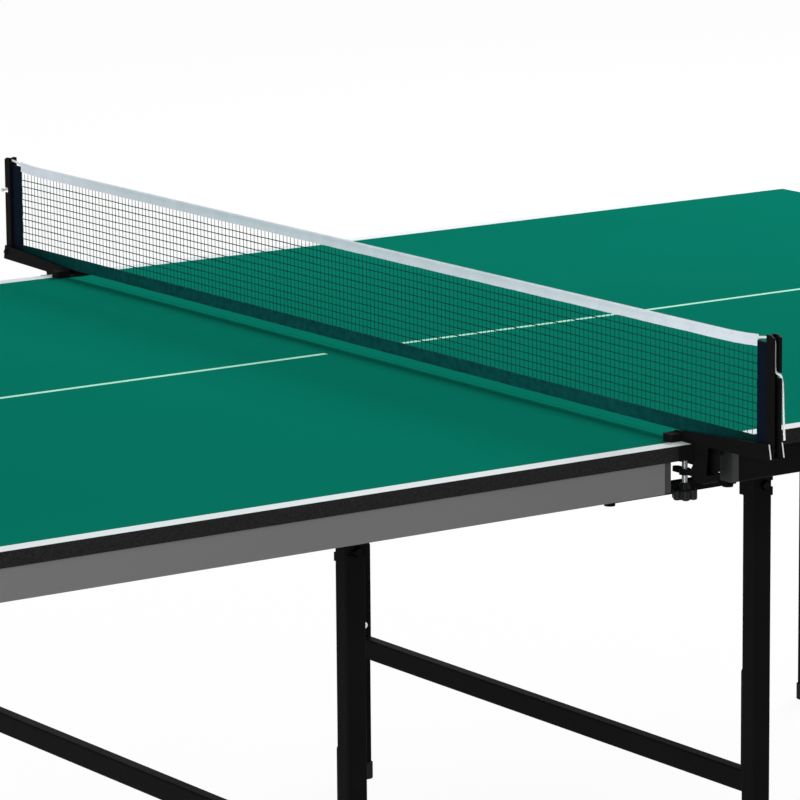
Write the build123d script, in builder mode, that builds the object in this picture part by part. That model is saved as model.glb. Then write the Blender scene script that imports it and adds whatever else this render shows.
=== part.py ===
from build123d import *
import os
from math import radians, tan

# Ping pong table in two halves with folding leg frames and a clamp-on net.
# X runs along the table, Y across it and Z up. The origin is on the floor under the middle of the net.
# Lengths are in millimetres. Left is -X, right is +X, near is -Y and far is +Y.

# Playing top
table_length = 2740.0
table_width = 1525.0
table_height = 760.0
board_thickness = 19.0
halves_gap = 1.0
edge_band = 1.5
edge_round = 0.6

# Rails under the boards
rail_height = 40.0
rail_width = 25.0
rail_wall = 1.5
rail_inset = 5.0
rail_end_to_net = 42.0
plain_rail_end_to_net = 54.0
cross_rail_to_net = 80.0
cap_head = 10.0
cap_plug = 14.0
cap_clearance = 0.2
cap_wall = 2.0
fascia_thickness = 1.0
tab_length = 40.0
tab_reach = 22.0
tab_thickness = 2.0
tabs_per_rail = 4
tab_hole = 5.0

# Leg frames
leg_width = 30.0
leg_depth = 25.0
leg_wall = 1.5
inner_leg_x = 324.0
inner_leg_inboard = 291.5
outer_leg_to_end = 212.0
outer_leg_inboard = 331.5
leg_top_clearance = 1.0
folded_stack_gap = 5.0
foot_height = 26.0
foot_sole = 6.0
foot_wall = 1.8
foot_clearance = 0.2
foot_chamfer = 1.5

# Crossbar of a leg frame
crossbar_top = 222.0
crossbar_height = 30.0
crossbar_width = 20.0
crossbar_wall = 1.5
end_plate = 3.0
end_plate_width = 26.0
end_plate_height = 172.0
plate_bolt_rise = 17.0
plate_bolt_margin = 15.0
plate_bolt_diameter = 6.0
plate_bolt_head = 12.0
plate_bolt_head_height = 4.0
plate_bolt_length = 14.0
bolt_clearance = 0.2
bolt_head_taper = 20.0

# Leg brackets, hinge pins and lock bolts
bracket_plate = 2.5
bracket_side_gap = 0.5
bracket_stop_gap = 0.2
bracket_front = 14.0
bracket_below_bolt = 15.0
flange_length = 56.0
flange_width = 22.0
flange_hole = 5.0
flange_hole_pitch = 36.0
pin_diameter = 8.0
pin_clearance = 0.05
pin_head = 13.0
pin_head_height = 4.0
rivet_taper = 25.0
head_gap = 0.3
lock_bolt_drop = 125.0
lock_bolt_diameter = 8.0
lock_bolt_head = 14.0
lock_bolt_head_height = 5.0
lock_nut_flats = 13.0
nut_sides = 6
slot_clearance = 0.4
slot_sweep = 25.0

# Bars that couple the two halves
coupling_inboard = 62.5
coupling_width = 12.0
coupling_thickness = 14.5
coupling_end = 12.0
coupling_drop = 1.0
stud_diameter = 8.0
stud_head = 14.0
stud_head_height = 3.0
stud_gap = 0.3

# Net clamps
clamp_overhang = 150.0
arm_width = 22.0
arm_wall = 3.0
arm_floor = 2.5
arm_tip_rise = 3.0
arm_tip_lean = 4.0
arm_tip_height = 20.5
arm_start_height = 11.0
arm_inboard = 38.5
sole_width = 28.0
foot_pad_width = 60.0
foot_pad_length = 18.0
foot_pad_height = 10.0
foot_pad_round = 3.0
edge_stop_width = 68.0
edge_stop_thickness = 3.3
edge_stop_gap = 0.2
cheek_depth = 22.0
cheek_taper = 5.0
cheek_drop = 29.0
cheek_round = 4.0
gusset_reach = 12.0
jaw_opening = 18.5
jaw_thickness = 6.0
jaw_width = 10.0
jaw_inboard = 53.0
screw_inboard = 31.5
screw_diameter = 8.0
screw_clearance = 0.05
screw_boss = 14.0
screw_boss_drop = 1.5
pad_diameter = 17.0
pad_thickness = 5.0
pad_socket = 3.0
pad_round = 1.0
knob_radius = 11.5
knob_lobe = 5.0
knob_lobes = 6
knob_height = 13.0
knob_gap = 19.5
knob_hub = 17.0
knob_hub_height = 8.0
knob_hub_taper = 25.0
knob_round = 2.0
knob_socket = 10.0

# Net posts
post_width = 13.0
post_depth = 14.0
post_wall = 2.4
post_above_net = 6.0
post_tip_to_arm = 1.0
post_notch_width = 5.0
post_notch_depth = 6.0
prong_chamfer = 3.0
cord_slot_drop = 49.5
cord_slot_height = 7.0
cord_slot_depth = 8.0
post_bolt_diameter = 5.0
post_bolt_head = 9.0
post_bolt_head_height = 3.0
post_bolt_rise = 8.5

# Net
net_height = 150.0
tape_height = 14.5
tape_thickness = 2.6
sleeve_width = 24.5
sleeve_thickness = 3.0
sleeve_overlap = 9.5
band_rise = 9.5
band_height = 18.0
band_thickness = 2.0
mesh_thickness = 1.2
mesh_strand = 2.0
mesh_cells_along = 58
mesh_cells_up = 5
cloth_gap = 0.2

# Tension cord
cord_diameter = 3.0
cord_rise_over_notch = 0.3
cord_below_net_top = 1.7
cord_level_run = 2.5
knot_radius = 3.0
knot_length = 4.0
arc_share = 0.45

# Sizes that follow
half_length = (table_length - halves_gap) / 2
half_middle = (table_length + halves_gap) / 4
board_underside = table_height - board_thickness
board_edge = table_width / 2
rail_middle_z = board_underside - rail_height / 2
rail_underside = board_underside - rail_height
rail_outer_y = board_edge - rail_inset
rail_inner_y = rail_outer_y - rail_width
rail_middle_y = rail_outer_y - rail_width / 2
rail_outer_x = table_length / 2 - rail_inset
tube_end_x = rail_outer_x - cap_head
cross_rail_x = cross_rail_to_net + rail_width / 2
inner_leg_y = board_edge - inner_leg_inboard
outer_leg_y = board_edge - outer_leg_inboard
outer_leg_x = table_length / 2 - outer_leg_to_end
foot_overhang = foot_wall + foot_clearance
inner_hinge_z = board_underside - leg_top_clearance - foot_overhang - leg_width / 2
outer_hinge_z = inner_hinge_z - leg_width - folded_stack_gap
lock_bolt_z = board_underside - lock_bolt_drop
bracket_half_gap = leg_depth / 2 + bracket_side_gap
bracket_outside = bracket_half_gap + bracket_plate
coupling_y = board_edge - coupling_inboard
coupling_top = rail_underside - coupling_drop
coupling_bottom = coupling_top - coupling_thickness
arm_tip_y = board_edge + clamp_overhang
arm_start_y = board_edge - arm_inboard
cheek_inner_y = board_edge + edge_stop_gap + edge_stop_thickness
cheek_outer_y = cheek_inner_y + cheek_depth
cheek_bottom = board_underside - cheek_drop
jaw_top = board_underside - jaw_opening
jaw_bottom = jaw_top - jaw_thickness
screw_y = board_edge - screw_inboard
pad_bottom = board_underside - pad_thickness
knob_top = jaw_bottom - knob_gap
net_top = table_height + net_height
arm_end_bottom = table_height + arm_tip_rise
arm_end_top = arm_end_bottom + arm_tip_height
arm_inside = arm_width - 2 * arm_wall
post_bottom = arm_end_bottom + arm_floor
post_top = net_top + post_above_net
post_outer_y = arm_tip_y - post_tip_to_arm
post_inner_y = post_outer_y - post_depth
post_web_outer_y = post_inner_y + post_wall
post_middle_y = (post_inner_y + post_outer_y) / 2
cord_slot_z = post_top - cord_slot_drop
sleeve_outer_y = post_inner_y - cloth_gap
sleeve_inner_y = sleeve_outer_y - sleeve_width
tape_bottom = net_top - tape_height
sleeve_top = tape_bottom + sleeve_overlap
band_bottom = table_height + band_rise
band_top = band_bottom + band_height

halves = {"left": -1, "right": 1}
sides = {"near": -1, "far": 1}

os.makedirs("parts", exist_ok=True)


def save(piece, name):
    """Label a finished piece and write it."""
    piece.part.label = name
    export_step(piece.part, f"parts/{name}.step")


def across(y):
    """Plane square to Y at a place along Y, with X to its right and Z upwards."""
    return Plane.XZ.offset(-y)


def tube_start(side, way):
    """Start of a side rail's tube, counted from the net; the rail with the fascia comes closer to it."""
    to_net = rail_end_to_net if side * way > 0 else plain_rail_end_to_net
    return to_net + cap_head


def tube_section(width, height, wall):
    """Draw a rolled rectangular tube's section in the sketch that is open."""
    RectangleRounded(width, height, 2 * wall)
    RectangleRounded(width - 2 * wall, height - 2 * wall, wall, mode=Mode.SUBTRACT)


# Boards with their edge bands
for half, side in halves.items():
    middle = side * half_middle
    with BuildPart() as board:
        with BuildSketch(Plane.XY.offset(board_underside)):
            with Locations((middle, 0)):
                Rectangle(half_length - 2 * edge_band, table_width - 2 * edge_band)
        extrude(amount=board_thickness)
    save(board, f"{half}_board")

    with BuildPart() as band:
        with BuildSketch(Plane.XY.offset(board_underside)):
            with Locations((middle, 0)):
                RectangleRounded(half_length, table_width, edge_band)
                Rectangle(half_length - 2 * edge_band, table_width - 2 * edge_band, mode=Mode.SUBTRACT)
        extrude(amount=board_thickness)
        fillet(band.faces().sort_by(Axis.Z)[-1].outer_wire().edges(), edge_round)
    save(band, f"{half}_edge_band")

# Side rails, each with a row of screw tabs under the board
for half, side in halves.items():
    for edge, way in sides.items():
        tube_length = tube_end_x - tube_start(side, way)
        tab_pitch = tube_length / tabs_per_rail
        tube_middle = side * (tube_start(side, way) + tube_end_x) / 2
        start = tube_middle - tube_length / 2
        with BuildPart() as rail:
            with BuildSketch(Plane((start, way * rail_middle_y, rail_middle_z), (0, 1, 0), (1, 0, 0))):
                tube_section(rail_width, rail_height, rail_wall)
            extrude(amount=tube_length)
            with BuildSketch(Plane.XY.offset(board_underside)):
                with Locations((tube_middle, way * (rail_inner_y - tab_reach / 2 + rail_wall / 2))):
                    with GridLocations(tab_pitch, 0, tabs_per_rail, 1):
                        Rectangle(tab_length, tab_reach + rail_wall)
                with Locations((tube_middle, way * (rail_inner_y - tab_reach / 2))):
                    with GridLocations(tab_pitch, 0, tabs_per_rail, 1):
                        Circle(tab_hole / 2, mode=Mode.SUBTRACT)
            extrude(amount=-tab_thickness)
        save(rail, f"{half}_{edge}_rail")

# End rails and cross rails between the side rails
for half, side in halves.items():
    places = {"end": rail_outer_x - rail_width / 2, "cross": cross_rail_x}
    for place, x in places.items():
        with BuildPart() as rail:
            with BuildSketch(Plane((side * x, -rail_inner_y, rail_middle_z), (1, 0, 0), (0, 1, 0))):
                tube_section(rail_width, rail_height, rail_wall)
            extrude(amount=2 * rail_inner_y)
        save(rail, f"{half}_{place}_rail")

# Caps in the open ends of the side rails
plug_width = rail_width - 2 * rail_wall - 2 * cap_clearance
plug_height = rail_height - 2 * rail_wall - 2 * cap_clearance
with BuildPart() as caps:
    for side in halves.values():
        for way in sides.values():
            for x, outwards in ((tube_start(side, way), -side), (tube_end_x, side)):
                mouth = Plane((side * x, way * rail_middle_y, rail_middle_z), (0, 1, 0), (outwards, 0, 0))
                with BuildSketch(mouth):
                    RectangleRounded(rail_width, rail_height, 2 * rail_wall)
                extrude(amount=cap_head)
                with BuildSketch(mouth):
                    RectangleRounded(plug_width, plug_height, rail_wall)
                    Rectangle(plug_width - 2 * cap_wall, plug_height - 2 * cap_wall, mode=Mode.SUBTRACT)
                extrude(amount=-cap_plug)
save(caps, "rail_end_caps")

# Plain fascia strip on one long side of each half
with BuildPart() as fascias:
    for side in halves.values():
        strip_start = tube_start(side, side)
        with BuildSketch(across(side * rail_outer_y)):
            with Locations((side * (strip_start + tube_end_x) / 2, rail_middle_z)):
                Rectangle(tube_end_x - strip_start, rail_height)
        extrude(amount=-side * fascia_thickness)
save(fascias, "fascias")

# Leg frames: place, half spacing, hinge height and the way they fold along X
frames = {}
for half, side in halves.items():
    frames[f"{half}_inner"] = (side * inner_leg_x, inner_leg_y, inner_hinge_z, side)
    frames[f"{half}_outer"] = (side * outer_leg_x, outer_leg_y, outer_hinge_z, -side)

crossbar_bottom = crossbar_top - crossbar_height
end_plate_top = crossbar_bottom + end_plate_height
plate_bolt_heights = (crossbar_top + plate_bolt_rise, end_plate_top - plate_bolt_margin)
crossbar_middle_z = crossbar_top - crossbar_height / 2

for frame, (x, spacing, hinge_z, fold) in frames.items():
    leg_inside = spacing - leg_depth / 2
    for edge, way in sides.items():
        with BuildPart() as leg:
            with BuildSketch(Plane.XY.offset(foot_sole)):
                with Locations((x, way * spacing)):
                    RectangleRounded(leg_width, leg_depth, 2 * leg_wall)
            extrude(amount=hinge_z + leg_width / 2 - foot_sole)
            with BuildSketch(Plane.XY.offset(foot_sole)):
                with Locations((x, way * spacing)):
                    RectangleRounded(leg_width - 2 * leg_wall, leg_depth - 2 * leg_wall, leg_wall)
            extrude(amount=hinge_z - leg_width / 2 - foot_sole, mode=Mode.SUBTRACT)
            with BuildSketch(across(way * spacing)):
                with Locations((x, hinge_z + leg_width / 2)):
                    Rectangle(2 * leg_width, leg_width)
                with Locations((x, hinge_z)):
                    Circle(leg_width / 2, mode=Mode.SUBTRACT)
            extrude(amount=leg_depth, both=True, mode=Mode.SUBTRACT)
            with BuildSketch(across(way * spacing)):
                with Locations((x, hinge_z)):
                    Circle(pin_diameter / 2 + pin_clearance)
                with Locations((x, lock_bolt_z)):
                    Circle(lock_bolt_diameter / 2 + bolt_clearance)
            extrude(amount=leg_depth, both=True, mode=Mode.SUBTRACT)
            with BuildSketch(across(way * leg_inside)):
                with Locations([(x, z) for z in plate_bolt_heights]):
                    Circle(plate_bolt_diameter / 2 + bolt_clearance)
            extrude(amount=2 * leg_wall, both=True, mode=Mode.SUBTRACT)
        save(leg, f"{frame}_{edge}_leg")

    with BuildPart() as crossbar:
        bar_end = leg_inside - end_plate
        with BuildSketch(Plane((x, -bar_end, crossbar_middle_z), (1, 0, 0), (0, 1, 0))):
            tube_section(crossbar_width, crossbar_height, crossbar_wall)
        extrude(amount=2 * bar_end)
        for way in sides.values():
            with BuildSketch(across(way * leg_inside)):
                with Locations((x, crossbar_bottom + end_plate_height / 2)):
                    RectangleRounded(end_plate_width, end_plate_height, 2 * end_plate)
                with Locations([(x, z) for z in plate_bolt_heights]):
                    Circle(plate_bolt_diameter / 2 + bolt_clearance, mode=Mode.SUBTRACT)
            extrude(amount=way * end_plate)
    save(crossbar, f"{frame}_crossbar")

    with BuildPart() as feet:
        cup_width = leg_width + 2 * foot_clearance
        cup_depth = leg_depth + 2 * foot_clearance
        foot_corner = 2 * leg_wall + foot_wall
        for way in sides.values():
            with BuildSketch(Plane.XY):
                with Locations((x, way * spacing)):
                    RectangleRounded(cup_width + 2 * foot_wall, cup_depth + 2 * foot_wall, foot_corner)
            extrude(amount=foot_height)
        chamfer(feet.faces().group_by(Axis.Z)[0].edges(), foot_chamfer)
        for way in sides.values():
            with BuildSketch(Plane.XY.offset(foot_sole)):
                with Locations((x, way * spacing)):
                    RectangleRounded(cup_width, cup_depth, 2 * leg_wall)
            extrude(amount=foot_height, mode=Mode.SUBTRACT)
    save(feet, f"{frame}_feet")

    with BuildPart() as bolts:
        for way in sides.values():
            head_seat = leg_inside - end_plate
            with BuildSketch(across(way * head_seat)):
                with Locations([(x, z) for z in plate_bolt_heights]):
                    Circle(plate_bolt_head / 2)
            extrude(amount=way * plate_bolt_head_height, taper=bolt_head_taper)
            with BuildSketch(across(way * head_seat)):
                with Locations([(x, z) for z in plate_bolt_heights]):
                    Circle(plate_bolt_diameter / 2)
            extrude(amount=-way * plate_bolt_length)
            outer_seat = spacing + bracket_outside + head_gap
            inner_seat = spacing - bracket_outside - head_gap
            with BuildSketch(across(way * inner_seat)):
                with Locations((x, lock_bolt_z)):
                    Circle(lock_bolt_diameter / 2)
            extrude(amount=-way * (outer_seat - inner_seat))
            with BuildSketch(across(way * outer_seat)):
                with Locations((x, lock_bolt_z)):
                    Circle(lock_bolt_head / 2)
            extrude(amount=-way * lock_bolt_head_height, taper=bolt_head_taper)
            with BuildSketch(across(way * inner_seat)):
                with Locations((x, lock_bolt_z)):
                    RegularPolygon(lock_nut_flats / 2, nut_sides, major_radius=False)
            extrude(amount=way * lock_bolt_head_height)
    save(bolts, f"{frame}_bolts")

# Brackets that carry the legs: a stop web behind the leg, a plate on each side of it and two flanges
for half in halves:
    with BuildPart() as brackets:
        for frame in (f"{half}_inner", f"{half}_outer"):
            x, spacing, hinge_z, fold = frames[frame]
            bottom = lock_bolt_z - bracket_below_bolt
            web_face = x - fold * (leg_width / 2 + bracket_stop_gap)
            web_back = web_face - fold * bracket_plate
            front = x + fold * bracket_front
            for way in sides.values():
                with BuildSketch(Plane.XY.offset(bottom)):
                    with Locations(((web_back + web_face) / 2, way * spacing)):
                        Rectangle(bracket_plate, 2 * bracket_outside)
                    for plate in sides.values():
                        plate_y = way * spacing + plate * (bracket_half_gap + bracket_plate / 2)
                        with Locations(((web_back + front) / 2, plate_y)):
                            Rectangle(abs(front - web_back), bracket_plate)
                extrude(amount=board_underside - bottom)
                with BuildSketch(Plane.XY.offset(board_underside)):
                    for plate in sides.values():
                        flange_y = way * spacing + plate * (bracket_outside + flange_width / 2)
                        with Locations((x, flange_y)):
                            Rectangle(flange_length, flange_width)
                            with GridLocations(flange_hole_pitch, 0, 2, 1):
                                Circle(flange_hole / 2, mode=Mode.SUBTRACT)
                extrude(amount=-bracket_plate)
                with BuildSketch(across(way * spacing)):
                    with Locations((x, hinge_z)):
                        Circle(pin_diameter / 2 + pin_clearance)
                    with BuildLine(mode=Mode.PRIVATE) as swing:
                        CenterArc((x, hinge_z), hinge_z - lock_bolt_z, -90, fold * slot_sweep)
                    SlotArc(swing.edges()[0], lock_bolt_diameter + 2 * slot_clearance)
                extrude(amount=bracket_outside, both=True, mode=Mode.SUBTRACT)
    save(brackets, f"{half}_leg_brackets")

# Riveted pins that the legs turn on
with BuildPart() as pins:
    for x, spacing, hinge_z, fold in frames.values():
        for way in sides.values():
            pin_half = bracket_outside
            with BuildSketch(across(way * spacing)):
                with Locations((x, hinge_z)):
                    Circle(pin_diameter / 2)
            extrude(amount=pin_half, both=True)
            for end in sides.values():
                with BuildSketch(across(way * spacing + end * pin_half)):
                    with Locations((x, hinge_z)):
                        Circle(pin_head / 2)
                extrude(amount=-end * pin_head_height, taper=rivet_taper)
save(pins, "hinge_pins")

# Coupling bars: each turns on a stud of one half and hooks round a stud of the other
hook_slot = stud_diameter + 2 * slot_clearance
for edge, way in sides.items():
    with BuildPart() as bar:
        with BuildSketch(Plane.XY.offset(coupling_bottom)):
            with Locations((0, way * coupling_y)):
                SlotOverall(2 * (cross_rail_x + coupling_end), coupling_width)
            with Locations((way * cross_rail_x, way * coupling_y)):
                Circle(stud_head / 2)
                Circle(stud_diameter / 2 + pin_clearance, mode=Mode.SUBTRACT)
            with Locations((-way * cross_rail_x, way * coupling_y)):
                Circle(hook_slot / 2, mode=Mode.SUBTRACT)
            with Locations((-way * cross_rail_x, way * (coupling_y + coupling_width / 2))):
                Rectangle(hook_slot, coupling_width, mode=Mode.SUBTRACT)
        extrude(amount=coupling_thickness)
    save(bar, f"{edge}_coupling_bar")

with BuildPart() as studs:
    for way in sides.values():
        for side in halves.values():
            place = (side * cross_rail_x, way * coupling_y)
            layers = (
                (rail_underside, coupling_top + stud_gap, stud_head),
                (coupling_top + stud_gap, coupling_bottom - stud_gap, stud_diameter),
                (coupling_bottom - stud_gap, coupling_bottom - stud_gap - stud_head_height, stud_head),
            )
            for layer_top, layer_bottom, diameter in layers:
                with BuildSketch(Plane.XY.offset(layer_bottom)):
                    with Locations(place):
                        Circle(diameter / 2)
                extrude(amount=layer_top - layer_bottom)
save(studs, "coupling_studs")

# Net clamps: a wedge-shaped channel arm whose walls run down past the board as cheeks and carry a narrow jaw
gusset_y = cheek_inner_y - gusset_reach
jaw_end_y = board_edge - jaw_inboard
beyond = arm_width
for edge, way in sides.items():
    outline = [
        (arm_start_y, table_height),
        (cheek_inner_y, table_height),
        (cheek_inner_y, board_underside),
        (gusset_y, jaw_top),
        (gusset_y + jaw_thickness, jaw_bottom),
        (cheek_inner_y, cheek_bottom),
        (cheek_outer_y - cheek_taper, cheek_bottom),
        (cheek_outer_y, table_height),
        (arm_tip_y, arm_end_bottom),
        (arm_tip_y - arm_tip_lean, arm_end_top),
        (arm_start_y, table_height + arm_start_height),
    ]
    channel = [
        (arm_start_y - beyond, table_height + arm_floor),
        (cheek_outer_y, table_height + arm_floor),
        (arm_tip_y, post_bottom),
        (arm_tip_y + beyond, post_bottom),
        (arm_tip_y + beyond, arm_end_top + beyond),
        (arm_start_y - beyond, arm_end_top + beyond),
    ]
    throat = [
        (gusset_y - beyond, jaw_top),
        (cheek_outer_y + beyond, jaw_top),
        (cheek_outer_y + beyond, table_height),
        (cheek_inner_y, table_height),
        (cheek_inner_y, board_underside),
        (gusset_y - beyond, board_underside),
    ]
    with BuildPart() as clamp:
        with BuildSketch(Plane.YZ):
            with BuildLine():
                Polyline([(way * y, z) for y, z in outline], close=True)
            make_face()
        extrude(amount=arm_width / 2, both=True)
        fillet(clamp.edges().filter_by(Axis.X).group_by(Axis.Z)[0], cheek_round)
        with BuildSketch(Plane.XY.offset(table_height)):
            with Locations((0, way * (arm_start_y + foot_pad_length / 2))):
                RectangleRounded(foot_pad_width, foot_pad_length, foot_pad_round)
        extrude(amount=foot_pad_height)
        with BuildSketch(Plane.XY.offset(table_height)):
            with Locations((0, way * (arm_start_y + cheek_inner_y) / 2)):
                Rectangle(sole_width, cheek_inner_y - arm_start_y)
        extrude(amount=arm_floor)
        for hollow in (channel, throat):
            with BuildSketch(Plane.YZ):
                with BuildLine():
                    Polyline([(way * y, z) for y, z in hollow], close=True)
                make_face()
            extrude(amount=arm_inside / 2, both=True, mode=Mode.SUBTRACT)
        with BuildSketch(across(way * (board_edge + edge_stop_gap))):
            with Locations((0, table_height - board_thickness / 2)):
                Rectangle(edge_stop_width, board_thickness)
        extrude(amount=-way * edge_stop_thickness)
        with BuildSketch(Plane.XY.offset(jaw_top)):
            with Locations((0, way * (jaw_end_y + cheek_inner_y + jaw_width) / 2)):
                SlotOverall(cheek_inner_y + jaw_width - jaw_end_y, jaw_width, rotation=90)
        extrude(amount=-jaw_thickness)
        with BuildSketch(Plane.XY.offset(jaw_top)):
            with Locations((0, way * screw_y)):
                Circle(screw_boss / 2)
        extrude(amount=-(jaw_thickness + screw_boss_drop))
        with BuildSketch(Plane.XY.offset(jaw_top)):
            with Locations((0, way * screw_y)):
                Circle(screw_diameter / 2 + screw_clearance)
        extrude(amount=-(jaw_thickness + screw_boss_drop), mode=Mode.SUBTRACT)
        with BuildSketch(Plane.YZ):
            with Locations((way * post_middle_y, post_bottom + post_bolt_rise)):
                Circle(post_bolt_diameter / 2 + bolt_clearance)
        extrude(amount=arm_width, both=True, mode=Mode.SUBTRACT)
    save(clamp, f"{edge}_clamp")

    with BuildPart() as screw:
        with BuildSketch(Plane.XY.offset(knob_top - knob_socket)):
            with Locations((0, way * screw_y)):
                Circle(screw_diameter / 2)
        extrude(amount=pad_bottom + pad_socket - knob_top + knob_socket)
    save(screw, f"{edge}_clamp_screw")

    with BuildPart() as pad:
        with BuildSketch(Plane.XY.offset(pad_bottom)):
            with Locations((0, way * screw_y)):
                Circle(pad_diameter / 2)
        extrude(amount=pad_thickness)
        fillet(pad.edges(), pad_round)
        with BuildSketch(Plane.XY.offset(pad_bottom)):
            with Locations((0, way * screw_y)):
                Circle(screw_diameter / 2 + screw_clearance)
        extrude(amount=pad_socket, mode=Mode.SUBTRACT)
    save(pad, f"{edge}_pressure_pad")

    with BuildPart() as knob:
        with BuildSketch(Plane.XY.offset(knob_top - knob_height)):
            with Locations((0, way * screw_y)):
                Circle(knob_radius)
                with PolarLocations(knob_radius, knob_lobes):
                    Circle(knob_lobe)
        extrude(amount=knob_height)
        fillet(knob.faces().sort_by(Axis.Z)[-1].edges(), knob_round)
        fillet(knob.faces().sort_by(Axis.Z)[0].edges(), knob_round)
        with BuildSketch(Plane.XY.offset(knob_top)):
            with Locations((0, way * screw_y)):
                Circle(knob_hub / 2)
        extrude(amount=knob_hub_height, taper=knob_hub_taper)
        with BuildSketch(Plane.XY.offset(knob_top - knob_socket)):
            with Locations((0, way * screw_y)):
                Circle(screw_diameter / 2)
        extrude(amount=knob_socket + knob_hub_height, mode=Mode.SUBTRACT)
    save(knob, f"{edge}_clamp_knob")

# Net posts: channels that stand in the arms, open outwards, with a notch on top and a side slot for the cord
for edge, way in sides.items():
    with BuildPart() as post:
        with BuildSketch(Plane.XY.offset(post_bottom)):
            with Locations((0, way * post_middle_y)):
                Rectangle(post_width, post_depth)
            with Locations((0, way * (post_web_outer_y + post_depth / 2))):
                Rectangle(post_width - 2 * post_wall, post_depth, mode=Mode.SUBTRACT)
        extrude(amount=post_top - post_bottom)
        tips = post.faces().sort_by(Axis.Z)[-1].edges().filter_by(Axis.X)
        chamfer(tips.group_by(Axis.Y)[0 if way < 0 else -1], prong_chamfer, 2 * prong_chamfer)
        with BuildSketch(across(way * post_inner_y)):
            with Locations((0, post_top)):
                Rectangle(post_notch_width, 2 * post_notch_depth)
        extrude(amount=post_wall, both=True, mode=Mode.SUBTRACT)
        with BuildSketch(Plane.YZ):
            with Locations((way * post_outer_y, cord_slot_z)):
                Rectangle(2 * cord_slot_depth, cord_slot_height)
        extrude(amount=-way * post_width, mode=Mode.SUBTRACT)
        with BuildSketch(Plane.YZ):
            with Locations((way * post_middle_y, post_bottom + post_bolt_rise)):
                Circle(post_bolt_diameter / 2 + bolt_clearance)
        extrude(amount=post_width, both=True, mode=Mode.SUBTRACT)
    save(post, f"{edge}_post")

with BuildPart() as post_bolts:
    for way in sides.values():
        bolt_place = (way * post_middle_y, post_bottom + post_bolt_rise)
        with BuildSketch(Plane.YZ):
            with Locations(bolt_place):
                Circle(post_bolt_diameter / 2)
        extrude(amount=arm_width / 2, both=True)
        for side in halves.values():
            with BuildSketch(Plane.YZ.offset(side * arm_width / 2)):
                with Locations(bolt_place):
                    Circle(post_bolt_head / 2)
            extrude(amount=side * post_bolt_head_height, taper=rivet_taper)
            with BuildSketch(Plane.YZ.offset(side * post_width / 2)):
                with Locations(bolt_place):
                    Circle(post_bolt_head / 2)
            extrude(amount=side * (arm_inside - post_width) / 2)
save(post_bolts, "post_bolts")

# Net: holed mesh, tape along the top, band along the bottom and a sleeve at each post
mesh_length = 2 * sleeve_inner_y
mesh_height = tape_bottom - band_top
mesh_pitch_y = (mesh_length - mesh_strand) / mesh_cells_along
mesh_pitch_z = (mesh_height - mesh_strand) / mesh_cells_up
with BuildPart() as mesh:
    with BuildSketch(Plane.YZ.offset(-mesh_thickness / 2)):
        with Locations((0, (tape_bottom + band_top) / 2)):
            Rectangle(mesh_length, mesh_height)
            with GridLocations(mesh_pitch_y, mesh_pitch_z, mesh_cells_along, mesh_cells_up):
                Rectangle(mesh_pitch_y - mesh_strand, mesh_pitch_z - mesh_strand, mode=Mode.SUBTRACT)
    extrude(amount=mesh_thickness)
save(mesh, "net_mesh")

with BuildPart() as tape:
    with BuildSketch(Plane.YZ):
        with Locations((0, (net_top + tape_bottom) / 2)):
            Rectangle(2 * sleeve_inner_y, tape_height)
    extrude(amount=tape_thickness / 2, both=True)
    fillet(tape.edges().filter_by(Axis.Y).group_by(Axis.Z)[-1], arc_share * tape_thickness)
save(tape, "net_tape")

with BuildPart() as bottom_band:
    with BuildSketch(Plane.YZ):
        with Locations((0, (band_top + band_bottom) / 2)):
            Rectangle(2 * sleeve_inner_y, band_height)
    extrude(amount=band_thickness / 2, both=True)
save(bottom_band, "net_bottom_band")

with BuildPart() as sleeves:
    for way in sides.values():
        with BuildSketch(Plane.XY.offset(band_bottom)):
            with Locations((0, way * (sleeve_inner_y + sleeve_outer_y) / 2)):
                RectangleRounded(sleeve_thickness, sleeve_width, arc_share * sleeve_thickness)
        extrude(amount=sleeve_top - band_bottom)
save(sleeves, "net_sleeves")

# Tension cord: out of the tape, over the post's notch, down inside it and out of its side slot
# Each tail point is counted from the slot: along X, outwards from the cord's drop, and up
cord_top = post_top - post_notch_depth + cord_diameter / 2 + cord_rise_over_notch
cord_y = (post_web_outer_y + post_outer_y) / 2
near_tail = [
    (0.0, 0.0, 6.0),
    (2.5, 1.3, 2.0),
    (9.0, 2.7, -1.0),
    (10.2, 3.3, -21.5),
    (10.9, 3.3, -46.5),
    (13.0, 3.3, -80.5),
]
far_tail = [
    (0.0, 0.0, 6.0),
    (-2.5, 1.3, 2.0),
    (-6.0, 2.5, 1.0),
    (-11.5, 2.5, 1.0),
]


def cord_route(way, tail):
    """Route of a cord from the tape's end over the notch and out along its tail."""
    over = [
        (0.0, way * sleeve_inner_y, net_top - cord_below_net_top),
        (0.0, way * (post_inner_y - cord_level_run), cord_top),
        (0.0, way * cord_y, cord_top),
    ]
    return over + [(x, way * (cord_y + out), cord_slot_z + up) for x, out, up in tail]


def cord_tube(route, name):
    """Sweep a cord along its route and print its radii and volume against section times length."""
    points = [Vector(*point) for point in route]
    runs = [b - a for a, b in zip(points, points[1:])]
    radii = []
    for before, after in zip(runs, runs[1:]):
        turn = radians(before.get_angle(after))
        radii.append(arc_share * min(before.length, after.length) / tan(turn / 2))
    with BuildPart() as cord:
        with BuildLine():
            path = FilletPolyline(*points, radius=radii)
        with BuildSketch(Plane(path @ 0, z_dir=path % 0)) as section:
            Circle(cord_diameter / 2)
        sweep()
    print(name, "length", round(path.length, 1), "radii", [round(r, 1) for r in radii])
    print(name, "volume", round(cord.part.volume, 1), "of", round(section.sketch.area * path.length, 1))
    return cord


near_cord = cord_tube(cord_route(-1, near_tail), "near_cord")
save(near_cord, "near_cord")

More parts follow.
